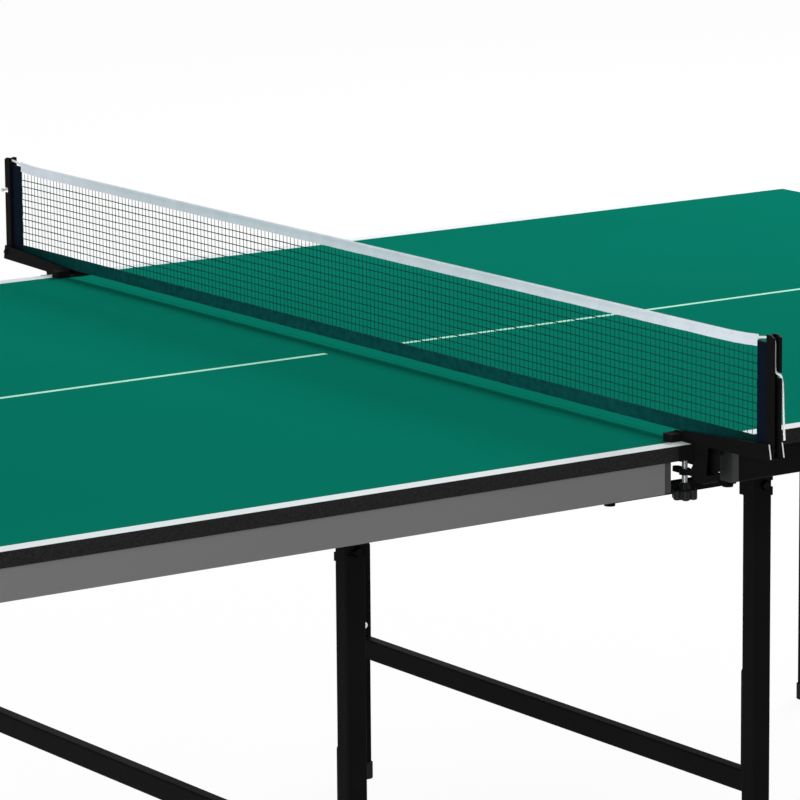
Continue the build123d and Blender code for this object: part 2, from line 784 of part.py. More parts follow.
far_route = cord_route(1, far_tail)
far_cord = cord_tube(far_route, "far_cord")
with BuildPart() as knotted_cord:
    add(far_cord.part)
    with BuildSketch(Plane(far_route[-1], (0, 1, 0), (-1, 0, 0))):
        Circle(knot_radius)
    extrude(amount=knot_length)
save(knotted_cord, "far_cord")
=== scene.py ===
"""Looks of a ping pong table in two halves with a clamp-on net: finishes, lines, net, cord and studio."""
import logging
import math
import random
from dataclasses import dataclass, replace
from enum import Enum
from typing import Callable, Iterable, Sequence

import bmesh
import bpy
from mathutils import Matrix, Vector


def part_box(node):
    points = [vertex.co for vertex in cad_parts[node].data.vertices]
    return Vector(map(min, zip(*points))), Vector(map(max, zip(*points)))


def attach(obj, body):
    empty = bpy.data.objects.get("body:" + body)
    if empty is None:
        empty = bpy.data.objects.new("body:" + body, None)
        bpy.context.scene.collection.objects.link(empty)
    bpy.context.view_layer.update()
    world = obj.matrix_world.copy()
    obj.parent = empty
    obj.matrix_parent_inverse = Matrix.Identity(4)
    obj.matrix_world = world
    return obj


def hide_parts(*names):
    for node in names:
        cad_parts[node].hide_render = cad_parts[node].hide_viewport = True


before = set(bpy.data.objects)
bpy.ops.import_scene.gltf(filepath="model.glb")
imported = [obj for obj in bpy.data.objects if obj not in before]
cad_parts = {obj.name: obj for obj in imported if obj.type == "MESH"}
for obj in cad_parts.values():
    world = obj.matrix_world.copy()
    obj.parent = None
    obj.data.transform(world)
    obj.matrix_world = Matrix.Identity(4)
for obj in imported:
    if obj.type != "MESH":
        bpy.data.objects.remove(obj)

log = logging.getLogger("ping_pong_table")
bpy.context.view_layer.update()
MM = 0.001
FULL_TURN = 2 * math.pi
SHARP_ANGLE = math.radians(40)
ROOT = "table"

Colour = tuple[float, float, float]
Place = tuple[float, float, float]
Material = bpy.types.Material
Shape = bmesh.types.BMesh
Socket = bpy.types.NodeSocket
Drift = Callable[[Vector, float], Vector]


class Side(Enum):
    """A side of the table, with its sign along an axis."""

    @property
    def word(self) -> str:
        """Name of the side as the frame's nodes spell it."""
        return self.name.lower()


class Half(Side):
    """The two halves of the table and their signs along X."""

    LEFT = -1
    RIGHT = 1


class Edge(Side):
    """The two long edges of the table and their signs along Y."""

    NEAR = -1
    FAR = 1


class Weave(Enum):
    """How the yarns of a cloth run against the axes: square, or turned as in a braid."""

    SQUARE = 0.0
    BRAID = math.radians(45)


class NodeGraph:
    """A material's nodes around one Principled shader, with short calls to add and link them."""

    texture_middle: tuple[float, float] = (0.25, 0.75)

    def __init__(self, name: str) -> None:
        """Start a material with a Principled shader and Object coordinates.

        Args:
            name: The material's name.
        """
        self.material = bpy.data.materials.new(name)
        self.material.use_nodes = True
        self.tree = self.material.node_tree
        self.tree.nodes.clear()
        self.shader = self.node("ShaderNodeBsdfPrincipled")
        output = self.node("ShaderNodeOutputMaterial")
        self.link(self.shader.outputs["BSDF"], output.inputs["Surface"])
        self.place = self.node("ShaderNodeTexCoord").outputs["Object"]

    def node(self, kind: str, **settings: object) -> bpy.types.Node:
        """Add a node and set its properties.

        Args:
            kind: Blender's class name of the node.
            settings: Properties to set on it.

        Returns:
            The new node.
        """
        made = self.tree.nodes.new(kind)
        for key, value in settings.items():
            setattr(made, key, value)
        return made

    def link(self, start: Socket, end: Socket) -> None:
        """Join two sockets."""
        self.tree.links.new(start, end)

    def noise(self, scale: float, detail: float = 2.0) -> Socket:
        """Add a noise texture on Object coordinates.

        Args:
            scale: Features per metre.
            detail: Octaves of finer noise.

        Returns:
            The noise value's socket.
        """
        made = self.node("ShaderNodeTexNoise")
        made.inputs["Scale"].default_value = scale
        made.inputs["Detail"].default_value = detail
        self.link(self.place, made.inputs["Vector"])
        return made.outputs["Fac"]

    def bands(self, pitch: float, direction: str, turn: float = 0.0) -> Socket:
        """Add even waves along one axis.

        Args:
            pitch: Distance from one wave to the next, in metres.
            direction: The axis, "X", "Y" or "Z".
            turn: Turn of the pattern about X and about Z, in radians.

        Returns:
            The wave value's socket.
        """
        turned = self.node("ShaderNodeMapping")
        turned.inputs["Rotation"].default_value = (turn, 0.0, turn)
        self.link(self.place, turned.inputs["Vector"])
        made = self.node("ShaderNodeTexWave", bands_direction=direction)
        # A wave texture of scale 1 repeats every pi / 10 metres.
        made.inputs["Scale"].default_value = math.pi / (10.0 * pitch)
        self.link(turned.outputs["Vector"], made.inputs["Vector"])
        return made.outputs["Fac"]

    def ramp(self, value: Socket, start: float, end: float, low: float, high: float) -> Socket:
        """Map a range of a value to a range of numbers, level beyond its ends.

        Args:
            value: The value's socket.
            start: Where the range starts.
            end: Where the range ends.
            low: Result at the start.
            high: Result at the end.

        Returns:
            The result's socket.
        """
        made = self.node("ShaderNodeMapRange")
        made.inputs["From Min"].default_value = start
        made.inputs["From Max"].default_value = end
        made.inputs["To Min"].default_value = low
        made.inputs["To Max"].default_value = high
        self.link(value, made.inputs["Value"])
        return made.outputs["Result"]

    def spread(self, value: Socket, low: float, high: float) -> Socket:
        """Map a texture's middle range to a range of numbers."""
        return self.ramp(value, *self.texture_middle, low, high)

    def join(self, operation: str, first: Socket, second: Socket) -> Socket:
        """Combine two values by a Math operation.

        Args:
            operation: Blender's name of the operation.
            first: The first value's socket.
            second: The second value's socket.

        Returns:
            The result's socket.
        """
        made = self.node("ShaderNodeMath", operation=operation)
        self.link(first, made.inputs[0])
        self.link(second, made.inputs[1])
        return made.outputs[0]

    def fall(self, axis: str, start: float, end: float, share: float) -> Socket:
        """Add a factor that falls from 1 to a share with the distance from the origin along an axis.

        Args:
            axis: X, Y or Z.
            start: Where it starts to fall, in metres.
            end: Where it has fallen, in metres.
            share: The factor beyond that.

        Returns:
            The factor's socket.
        """
        axes = self.node("ShaderNodeSeparateXYZ")
        self.link(self.place, axes.inputs["Vector"])
        distance = self.node("ShaderNodeMath", operation="ABSOLUTE")
        self.link(axes.outputs[axis], distance.inputs[0])
        return self.ramp(distance.outputs[0], start, end, 1.0, share)

    def tint(self, colour: Colour, factor: Socket) -> None:
        """Colour the shader by one colour times a varying factor.

        Args:
            colour: Linear colour.
            factor: Socket of the factor.
        """
        made = self.node("ShaderNodeVectorMath", operation="SCALE")
        made.inputs[0].default_value = colour
        self.link(factor, made.inputs["Scale"])
        self.link(made.outputs["Vector"], self.shader.inputs["Base Color"])

    def bump(self, height: Socket, distance: float, strength: float) -> None:
        """Raise the surface by a height map.

        Args:
            height: Socket of the height.
            distance: Height of the relief in metres.
            strength: Share of the relief that shows.
        """
        made = self.node("ShaderNodeBump")
        made.inputs["Distance"].default_value = distance
        made.inputs["Strength"].default_value = strength
        self.link(height, made.inputs["Height"])
        self.link(made.outputs["Normal"], self.shader.inputs["Normal"])


@dataclass(frozen=True)
class Coat:
    """A coated, moulded or plated surface: cloudy tone, fine grain, a fine relief and, where set, painted
    shade above a height.
    """

    name: str
    colour: Colour
    roughness: float
    rough_spread: float = 0.08
    specular: float = 0.3
    metallic: float = 0.0
    cloud_scale: float = 5.0
    cloud_detail: float = 4.0
    cloud: float = 0.05
    grain_scale: float = 700.0
    grain: float = 0.10
    relief_scale: float = 900.0
    relief_detail: float = 3.0
    relief: float = 0.00008
    relief_strength: float = 0.25
    shade_above: float | None = None
    shade_above_share: float = 0.004

    def build(self) -> Material:
        """Make the finish's material.

        Returns:
            The material.
        """
        graph = NodeGraph(self.name)
        cloudy = graph.noise(self.cloud_scale, self.cloud_detail)
        grainy = graph.noise(self.grain_scale)
        tone = graph.join(
            "MULTIPLY",
            graph.spread(cloudy, 1.0 - self.cloud, 1.0 + self.cloud),
            graph.spread(grainy, 1.0 - self.grain, 1.0 + self.grain),
        )
        # Painted shade: above the given height the colour falls to a small share of itself.
        if self.shade_above is not None:
            shade_above_factor = graph.fall("Z", self.shade_above - MM, self.shade_above + MM, self.shade_above_share)
            tone = graph.join("MULTIPLY", tone, shade_above_factor)
        graph.tint(self.colour, tone)
        smoothest = self.roughness * (1.0 - self.rough_spread)
        roughest = min(1.0, self.roughness * (1.0 + self.rough_spread))
        graph.link(graph.spread(cloudy, smoothest, roughest), graph.shader.inputs["Roughness"])
        graph.shader.inputs["Metallic"].default_value = self.metallic
        graph.shader.inputs["Specular IOR Level"].default_value = self.specular
        graph.bump(graph.noise(self.relief_scale, self.relief_detail), self.relief, self.relief_strength)
        return graph.material


@dataclass(frozen=True)
class Cloth:
    """A woven or braided cloth whose yarns show in tone and relief, with painted shade towards both ends
    where set.
    """

    name: str
    colour: Colour
    yarn: float
    weave: Weave = Weave.SQUARE
    yarn_depth: float = 0.25
    roughness: float = 0.85
    specular: float = 0.15
    sheen: float = 0.15
    soil_scale: float = 30.0
    soil_detail: float = 4.0
    soil: float = 0.06
    relief: float = 0.0003
    relief_strength: float = 0.6
    shade_from: float = 0.0
    shade_to: float = 0.0
    shade_share: float = 1.0

    def build(self) -> Material:
        """Make the cloth's material.

        Returns:
            The material.
        """
        graph = NodeGraph(self.name)
        warp = graph.bands(self.yarn, "Y", self.weave.value)
        weft = graph.bands(self.yarn, "Z", self.weave.value)
        yarns = graph.join("MAXIMUM", warp, weft)
        soiled = graph.noise(self.soil_scale, self.soil_detail)
        tone = graph.join(
            "MULTIPLY",
            graph.spread(yarns, 1.0 - self.yarn_depth, 1.0),
            graph.spread(soiled, 1.0 - self.soil, 1.0 + self.soil),
        )
        # Painted shade: the colour falls towards both ends along Y.
        if self.shade_to > self.shade_from:
            shade_at_ends = graph.fall("Y", self.shade_from, self.shade_to, self.shade_share)
            tone = graph.join("MULTIPLY", tone, shade_at_ends)
        graph.tint(self.colour, tone)
        graph.shader.inputs["Roughness"].default_value = self.roughness
        graph.shader.inputs["Specular IOR Level"].default_value = self.specular
        graph.shader.inputs["Sheen Weight"].default_value = self.sheen
        graph.bump(yarns, self.relief, self.relief_strength)
        return graph.material


GREEN_LACQUER = Coat(
    "green_lacquer", (0.0024, 0.184, 0.126), 0.75, specular=0.0, cloud_scale=2.2, cloud=0.04,
    grain_scale=650.0, grain=0.07, relief_scale=1400.0, relief=0.00006,
)
LINE_PAINT = Coat("line_paint", (0.82, 0.88, 0.89), 0.6, specular=0.05, cloud=0.03, grain=0.03)
CENTRE_PAINT = replace(LINE_PAINT, name="centre_paint", colour=(0.49, 0.90, 0.72), specular=0.0)
EDGE_BAND = Coat(
    "edge_band", (0.0130, 0.0130, 0.0138), 0.6, specular=0.06, grain_scale=420.0, grain=0.55,
    relief_scale=480.0, relief=0.0003, relief_strength=0.5,
)
BLACK_STEEL = Coat(
    "black_powder_coat", (0.0064, 0.0058, 0.0060), 0.5, specular=0.015, cloud_scale=9.0, cloud=0.12,
    grain_scale=900.0, grain=0.12, relief_scale=1100.0, relief=0.00012, relief_strength=0.3,
)
CAP_PLASTIC = Coat(
    "cap_plastic", (0.052, 0.052, 0.053), 0.6, specular=0.03, relief_scale=1600.0, relief=0.0001,
)
GREY_FASCIA = Coat(
    "grey_fascia", (0.160, 0.160, 0.161), 0.55, specular=0.05, cloud_scale=3.0, cloud=0.02, grain=0.03,
)
BRIGHT_ZINC = Coat(
    "bright_zinc", (0.66, 0.67, 0.69), 0.3, specular=0.5, metallic=0.95, cloud_scale=160.0, cloud=0.12,
    grain_scale=2500.0, grain=0.06, relief_scale=2600.0, relief=0.00005,
)
# Painted shade: above 0.5 m, high on the legs under the boards, the bolts' zinc is painted almost black.
SHADED_BOLT_ZINC = replace(BRIGHT_ZINC, name="bolt_zinc_painted_shade", shade_above=0.5)
DARK_ZINC = Coat(
    "dark_zinc", (0.10, 0.10, 0.105), 0.4, specular=0.5, metallic=0.8, cloud_scale=140.0, cloud=0.15,
    relief_scale=2200.0, relief=0.00005,
)
FOOT_RUBBER = Coat(
    "foot_rubber", (0.010, 0.010, 0.010), 0.8, specular=0.2, relief_scale=1500.0, relief=0.0002,
)
PAD_RUBBER = Coat(
    "pad_rubber", (0.014, 0.014, 0.014), 0.85, specular=0.15, relief_scale=1700.0, relief=0.0002,
)
KNOB_PLASTIC = Coat(
    "knob_plastic", (0.0070, 0.0090, 0.0084), 0.42, specular=0.12, grain_scale=1200.0,
    relief_scale=1300.0, relief=0.00015, relief_strength=0.35,
)
NET_YARN = Coat(
    "net_yarn", (0.0060, 0.0640, 0.0500), 0.8, specular=0.0, cloud_scale=60.0, cloud=0.2,
    relief_scale=2500.0, relief=0.0002,
)
NET_TAPE = Cloth("net_tape", (0.79, 0.85, 0.93), yarn=0.0011, yarn_depth=0.14)
# Painted shade on the bottom band: from 0.6 m to 0.86 m out along the net its colour falls to 0.3, where the
# clamp arms shade it.
NET_BINDING = Cloth(
    "net_binding", (0.0030, 0.0800, 0.0760), yarn=0.0013, yarn_depth=0.4, specular=0.03, sheen=0.0,
    soil_scale=90.0, soil=0.3, shade_from=0.6, shade_to=0.86, shade_share=0.3,
)
SLEEVE_CLOTH = Cloth(
    "sleeve_cloth", (0.0022, 0.0060, 0.0150), yarn=0.0013, yarn_depth=0.4, specular=0.05, sheen=0.0,
)
STITCHING = Coat("stitching", (0.0025, 0.0500, 0.0500), 0.8, specular=0.03)
TAPE_STITCHING = Coat("tape_stitching", (0.74, 0.77, 0.79), 0.8, specular=0.1)
WHITE_CORD = Cloth("white_cord", (0.88, 0.90, 0.91), yarn=0.0012, weave=Weave.BRAID, yarn_depth=0.18)


@dataclass(frozen=True)
class Wave:
    """An even wave along a run.

    Its height is in metres and its pace in radians over the whole run. It starts at an angle, and its
    skew says by how many radians a value across the run shifts it.
    """

    height: float
    pace: float
    start: float = 0.0
    skew: float = 0.0

    def at(self, share: float, across: float) -> float:
        """Height of the wave at a share of the run and a value across it."""
        return self.height * math.sin(self.pace * share + self.start + self.skew * across)


def ripple(waves: Iterable[Wave], share: float, across: float = 0.0) -> float:
    """Sum of several waves at a share of the run and a value across it."""
    return sum(wave.at(share, across) for wave in waves)


def circle(sides: int) -> list[tuple[float, float]]:
    """Corners of a regular polygon on a circle of radius 1."""
    angles = [FULL_TURN * corner / sides for corner in range(sides)]
    return [(math.cos(angle), math.sin(angle)) for angle in angles]


def show(name: str, body: str, finish: Material, shape: Shape) -> bpy.types.Object:
    """Turn a bmesh into a piece of the object.

    Args:
        name: The piece's name.
        body: The body that it rides on.
        finish: Its material.
        shape: Its shape, which is freed.

    Returns:
        The new object, at the origin.
    """
    mesh = bpy.data.meshes.new(name)
    bmesh.ops.recalc_face_normals(shape, faces=shape.faces)
    shape.to_mesh(mesh)
    shape.free()
    mesh.shade_smooth()
    mesh.set_sharp_from_angle(angle=SHARP_ANGLE)
    mesh.materials.append(finish)
    piece = bpy.data.objects.new(name, mesh)
    bpy.context.scene.collection.objects.link(piece)
    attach(piece, body)
    log.info("piece %s rides %s with %d faces", name, body, len(mesh.polygons))
    return piece


def dress(finish: Material, nodes: Iterable[str]) -> None:
    """Give CAD nodes a finish.

    Args:
        finish: The material.
        nodes: Names of the nodes.
    """
    for name in nodes:
        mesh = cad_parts[name].data
        mesh.materials.clear()
        mesh.materials.append(finish)
        log.info("node %s has finish %s", name, finish.name)


def template(shape: Shape) -> bpy.types.Mesh:
    """Keep a shape as a mesh that is added to others.

    Args:
        shape: The shape, which is freed.

    Returns:
        The mesh.
    """
    mesh = bpy.data.meshes.new("template")
    shape.to_mesh(mesh)
    shape.free()
    return mesh


def stamp(shape: Shape, mesh: bpy.types.Mesh, places: Iterable[Matrix]) -> None:
    """Add a copy of a mesh at each place.

    Args:
        shape: The bmesh that grows.
        mesh: What is stamped.
        places: One transform for each copy.
    """
    for place in places:
        start = len(shape.verts)
        shape.from_mesh(mesh)
        shape.verts.ensure_lookup_table()
        bmesh.ops.transform(shape, matrix=place, verts=shape.verts[start:])


def wire(shape: Shape, points: Iterable[Sequence[float]], closed: bool) -> tuple[list, list]:
    """Add a run of edges through points.

    Args:
        shape: The bmesh that grows.
        points: Points of the run, in order.
        closed: Whether the last one joins the first.

    Returns:
        The run's vertices and its edges.
    """
    verts = [shape.verts.new(point) for point in points]
    ends = verts[1:] + verts[:1] if closed else verts[1:]
    return verts, [shape.edges.new(pair) for pair in zip(verts, ends)]


def raise_face(shape: Shape, corners: Iterable[Place], lift: Place) -> None:
    """Add a flat face and raise it into a closed film.

    Args:
        shape: The bmesh that grows.
        corners: Corners of the face, in order.
        lift: From the face to the film's other side.
    """
    face = shape.faces.new([shape.verts.new(corner) for corner in corners])
    raised = bmesh.ops.extrude_face_region(shape, geom=[face])["geom"]
    lifted = [item for item in raised if isinstance(item, bmesh.types.BMVert)]
    bmesh.ops.translate(shape, verts=lifted, vec=lift)


def spin_round(shape: Shape, outline: tuple[list, list], steps: int) -> None:
    """Spin an outline once round the Z axis.

    Args:
        shape: The bmesh that holds it and grows.
        outline: Its vertices and its edges.
        steps: Number of steps in the turn.
    """
    verts, edges = outline
    bmesh.ops.spin(
        shape, geom=verts + edges, cent=(0, 0, 0), axis=(0, 0, 1), angle=FULL_TURN, steps=steps,
        use_merge=True,
    )


def sweep(shape: Shape, outline: Sequence[Vector], run: Vector, rings: int, drift: Drift) -> None:
    """Sweep a closed outline along a straight run, close its ends and let its rings drift.

    Args:
        shape: The bmesh that grows.
        outline: Points of the outline, in order.
        run: From the first ring to the last.
        rings: Number of rings between the ends.
        drift: Offset of a point, given the point and its share of the run.
    """
    tube = bmesh.new()
    ring, loop = wire(tube, outline, closed=True)
    bmesh.ops.edgeloop_fill(tube, edges=loop)
    swept = [(vert, 0.0) for vert in ring]
    steps = rings + 1
    for step in range(1, steps + 1):
        made = bmesh.ops.extrude_edge_only(tube, edges=loop)["geom"]
        ring = [item for item in made if isinstance(item, bmesh.types.BMVert)]
        loop = [item for item in made if isinstance(item, bmesh.types.BMEdge) and item.is_boundary]
        bmesh.ops.translate(tube, verts=ring, vec=run / steps)
        swept += [(vert, step / steps) for vert in ring]
    bmesh.ops.edgeloop_fill(tube, edges=loop)
    for vert, share in swept:
        vert.co += drift(vert.co.copy(), share)
    shape.from_mesh(template(tube))


@dataclass
class PanHead:
    """A domed screw head with a round drive recess.

    Its profile runs from the axis outwards, as shares of the radius and of the height.
    """

    radius: float
    height: float
    profile: tuple[tuple[float, float], ...] = (
        (0.0, 0.45), (0.38, 0.5), (0.45, 1.0), (0.75, 0.86), (0.96, 0.45), (1.0, 0.0),
    )
    steps: int = 14
    merge_share: float = 0.001

    def mesh(self) -> bpy.types.Mesh:
        """Make the head on the XY plane, pointing up.

        Returns:
            The head as a template mesh.
        """
        shape = bmesh.new()
        points = [(share * self.radius, 0.0, rise * self.height) for share, rise in self.profile]
        spin_round(shape, wire(shape, points, closed=False), self.steps)
        bmesh.ops.remove_doubles(shape, verts=shape.verts, dist=self.radius * self.merge_share)
        bmesh.ops.recalc_face_normals(shape, faces=shape.faces)
        return template(shape)

    def hang(self, spots: Iterable[Sequence[float]]) -> Shape:
        """Put a head at each spot, pointing down.

        Args:
            spots: Where the heads sit.

        Returns:
            The heads' shape.
        """
        shape = bmesh.new()
        flip = Matrix.Rotation(math.pi, 4, "X")
        stamp(shape, self.mesh(), [Matrix.Translation(spot) @ flip for spot in spots])
        return shape


@dataclass
class PlayingTop:
    """Boards, edge bands and the painted lines."""

    side_line: float = 24 * MM
    centre_line: float = 9 * MM
    centre_stop: float = 42 * MM
    film: float = 0.15 * MM
    edge_margin: float = 0.8 * MM
    joint_width: float = 2.4 * MM

    def build(self) -> None:
        """Dress the boards and paint their lines."""
        lacquer = GREEN_LACQUER.build()
        dress(lacquer, [f"{half.word}_board" for half in Half])
        dress(EDGE_BAND.build(), [f"{half.word}_edge_band" for half in Half])
        paint, centre_paint = LINE_PAINT.build(), CENTRE_PAINT.build()
        for half in Half:
            show(f"{half.word}_lines", ROOT, paint, self.border(half))
            show(f"{half.word}_centre_line", ROOT, centre_paint, self.centre(half))
            show(f"{half.word}_joint_lacquer", ROOT, lacquer, self.joint(half))

    def edges(self, half: Half) -> tuple[float, float, float, float]:
        """Find where one half ends.

        Args:
            half: Which half.

        Returns:
            Its end beside the net and its outer end along X, its half width and its top.
        """
        low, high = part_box(f"{half.word}_edge_band")
        net_x, end_x = sorted((low.x, high.x), key=abs)
        return net_x, end_x, high.y, high.z

    def border(self, half: Half) -> Shape:
        """Paint film of one half's side lines and end line, in one run.

        Args:
            half: Which half.

        Returns:
            The film's shape.
        """
        net_x, end_x, side_y, top = self.edges(half)
        inner_y = side_y - self.side_line
        inner_x = end_x - half.value * self.side_line
        net_x += half.value * self.edge_margin
        end_x -= half.value * self.edge_margin
        side_y -= self.edge_margin
        outline = (
            (net_x, -side_y), (end_x, -side_y), (end_x, side_y), (net_x, side_y),
            (net_x, inner_y), (inner_x, inner_y), (inner_x, -inner_y), (net_x, -inner_y),
        )
        return self.coat(outline, top)

    def centre(self, half: Half) -> Shape:
        """Paint film of one half's centre line.

        Args:
            half: Which half.

        Returns:
            The film's shape.
        """
        _, end_x, _, top = self.edges(half)
        start, end = half.value * self.centre_stop, end_x - half.value * self.side_line
        side = self.centre_line / 2
        return self.coat(((start, -side), (end, -side), (end, side), (start, side)), top)

    def joint(self, half: Half) -> Shape:
        """Lacquer film over the edge band beside the net, between the side lines.

        Args:
            half: Which half.

        Returns:
            The film's shape.
        """
        start, _, side_y, top = self.edges(half)
        end = start + half.value * self.joint_width
        side = side_y - self.side_line
        return self.coat(((start, -side), (end, -side), (end, side), (start, side)), top)

    def coat(self, outline: Iterable[tuple[float, float]], height: float) -> Shape:
        """Raise a flat outline into a film.

        Args:
            outline: Its corners on the board.
            height: The board's top.

        Returns:
            The film's shape.
        """
        shape = bmesh.new()
        raise_face(shape, [(x, y, height) for x, y in outline], (0, 0, self.film))
        return shape


@dataclass
class UnderFrame:
    """Rails, caps, fascias and coupling gear under the boards, with the screws of the rail tabs."""

    screw_radius: float = 4.2 * MM
    screw_height: float = 2.6 * MM
    tabs: int = 4
    tab_reach: float = 22 * MM
    tab_thickness: float = 2 * MM

    def build(self) -> None:
        """Dress the rails and put in the screws."""
        places = ("near", "far", "end", "cross")
        rails = [f"{half.word}_{place}_rail" for half in Half for place in places]
        bars = [f"{edge.word}_coupling_bar" for edge in Edge]
        brackets = [f"{half.word}_leg_brackets" for half in Half]
        dress(BLACK_STEEL.build(), rails + bars + brackets + ["coupling_studs"])
        dress(CAP_PLASTIC.build(), ["rail_end_caps"])
        dress(GREY_FASCIA.build(), ["fascias"])
        dress(DARK_ZINC.build(), ["hinge_pins"])
        show("rail_tab_screws", ROOT, BRIGHT_ZINC.build(), self.tab_screws())

    def tab_screws(self) -> Shape:
        """Heads of the screws that hold the rail tabs to the boards.

        Returns:
            The heads' shape.
        """
        spots = []
        for half in Half:
            for edge in Edge:
                low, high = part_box(f"{half.word}_{edge.word}_rail")
                pitch = (high.x - low.x) / self.tabs
                inner_y = low.y if edge is Edge.FAR else high.y
                y = inner_y + edge.value * self.tab_reach / 2
                z = high.z - self.tab_thickness
                spots += [(low.x + pitch * (count + 0.5), y, z) for count in range(self.tabs)]
        return PanHead(self.screw_radius, self.screw_height).hang(spots)


@dataclass
class LegFrames:
    """The four folding leg frames and the screws of their brackets."""

    names: tuple[str, ...] = ("left_inner", "left_outer", "right_inner", "right_outer")
    screw_radius: float = 4.6 * MM
    screw_height: float = 3 * MM
    screw_pitch: float = 36 * MM
    flange_offset: float = 26.5 * MM
    flange_thickness: float = 2.5 * MM

    def build(self) -> None:
        """Dress the frames and put in the bracket screws."""
        steel = bpy.data.materials[BLACK_STEEL.name]
        zinc = bpy.data.materials[BRIGHT_ZINC.name]
        legs = [f"{name}_{edge.word}_leg" for name in self.names for edge in Edge]
        dress(steel, legs + [f"{name}_crossbar" for name in self.names])
        dress(FOOT_RUBBER.build(), [f"{name}_feet" for name in self.names])
        # The leg bolts carry painted shade above 0.5 m.
        dress(SHADED_BOLT_ZINC.build(), [f"{name}_bolts" for name in self.names])
        show("bracket_screws", ROOT, zinc, self.bracket_screws())

    def bracket_screws(self) -> Shape:
        """Heads of the screws that hold the leg brackets to the boards.

        Returns:
            The heads' shape.
        """
        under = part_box("left_board")[0].z - self.flange_thickness
        flanges = (-self.flange_offset, self.flange_offset)
        ends = (-self.screw_pitch / 2, self.screw_pitch / 2)
        spots = []
        for name in self.names:
            for edge in Edge:
                low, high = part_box(f"{name}_{edge.word}_leg")
                middle = (low + high) / 2
                spots += [(middle.x + end, middle.y + flange, under) for flange in flanges for end in ends]
        return PanHead(self.screw_radius, self.screw_height).hang(spots)


@dataclass
class ClampSet:
    """Net clamps and posts, with threaded screws and the small screw of each post."""

    pitch: float = 1.5 * MM
    thread_depth: float = 0.75 * MM
    thread_steps: int = 24
    thread_merge: float = 0.01 * MM
    arm_width: float = 22 * MM
    tip_bottom: float = 763 * MM
    tip_top: float = 783.5 * MM
    tip_lean: float = 4 * MM
    highlight_margin: float = 2.5 * MM
    highlight_width: float = 1.9 * MM
    highlight_film: float = 0.1 * MM
    post_screw_z: float = 802 * MM
    post_screw_radius: float = 3.4 * MM
    post_screw_height: float = 2.4 * MM
    post_wall: float = 2.4 * MM

    def build(self) -> None:
        """Dress the clamps and make the threaded screws."""
        steel = bpy.data.materials[BLACK_STEEL.name]
        zinc = bpy.data.materials[BRIGHT_ZINC.name]
        irons = [f"{edge.word}_{part}" for edge in Edge for part in ("clamp", "post")]
        dress(steel, irons + ["post_bolts"])
        dress(KNOB_PLASTIC.build(), [f"{edge.word}_clamp_knob" for edge in Edge])
        dress(PAD_RUBBER.build(), [f"{edge.word}_pressure_pad" for edge in Edge])
        for edge in Edge:
            node, body = f"{edge.word}_clamp_screw", f"{edge.word}_screw"
            piece = show(f"{edge.word}_threaded_screw", body, zinc, self.thread(node))
            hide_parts(node)
        show("post_screws", ROOT, zinc, self.post_screws())
        # Painted highlights: bright zinc strips at the tips of the clamp arms.
        show("arm_tip_highlights", ROOT, zinc, self.painted_highlights())

    def thread(self, node: str) -> Shape:
        """A threaded rod in the place of a plain one.

        Args:
            node: The plain rod's node.

        Returns:
            The rod's shape.
        """
        low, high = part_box(node)
        axis = (low + high) / 2
        crest = axis.x + (high.x - low.x) / 2
        root = crest - self.thread_depth
        turns = int((high.z - low.z) / self.pitch) - 1
        points = []
        for turn in range(turns):
            base = low.z + turn * self.pitch
            points += [(root, axis.y, base), (crest, axis.y, base + self.pitch / 2)]
        points.append((root, axis.y, low.z + turns * self.pitch))
        shape = bmesh.new()
        verts, edges = wire(shape, points, closed=False)
        rise = (0, 0, self.pitch / self.thread_steps)
        bmesh.ops.spin(
            shape, geom=verts + edges, cent=axis, axis=(0, 0, 1), dvec=rise, angle=FULL_TURN,
            steps=self.thread_steps, use_merge=False,
        )
        bmesh.ops.remove_doubles(shape, verts=shape.verts, dist=self.thread_merge)
        bmesh.ops.holes_fill(shape, edges=[edge for edge in shape.edges if edge.is_boundary])
        bmesh.ops.triangulate(shape, faces=[face for face in shape.faces if len(face.verts) > 4])
        return shape

    def painted_highlights(self) -> Shape:
        """Painted highlights at the tips of the arms' walls: bright zinc strips as a thin film.

        Returns:
            The film's shape.
        """
        shape = bmesh.new()
        slope = self.tip_lean / (self.tip_top - self.tip_bottom)
        bottom, top = self.tip_bottom + self.highlight_margin, self.tip_top
        for edge in Edge:
            low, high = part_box(f"{edge.word}_clamp")
            reach = max(abs(low.y), abs(high.y))
            for half in Half:
                outer = half.value * self.arm_width / 2
                inner = outer - half.value * self.highlight_width
                corners = []
                for x, z in ((outer, bottom), (outer, top), (inner, top), (inner, bottom)):
                    corners.append((x, edge.value * (reach - slope * (z - self.tip_bottom)), z))
                raise_face(shape, corners, (0, edge.value * self.highlight_film, 0))
        return shape

    def post_screws(self) -> Shape:
        """Head of the small screw in each post's channel.

        Returns:
            The heads' shape.
        """
        shape = bmesh.new()
        head = PanHead(self.post_screw_radius, self.post_screw_height).mesh()
        for edge in Edge:
            low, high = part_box(f"{edge.word}_post")
            inner_y = low.y if edge is Edge.FAR else high.y
            spot = Matrix.Translation((0, inner_y + edge.value * self.post_wall, self.post_screw_z))
            stamp(shape, head, [spot @ Matrix.Rotation(-edge.value * math.pi / 2, 4, "X")])
        return shape


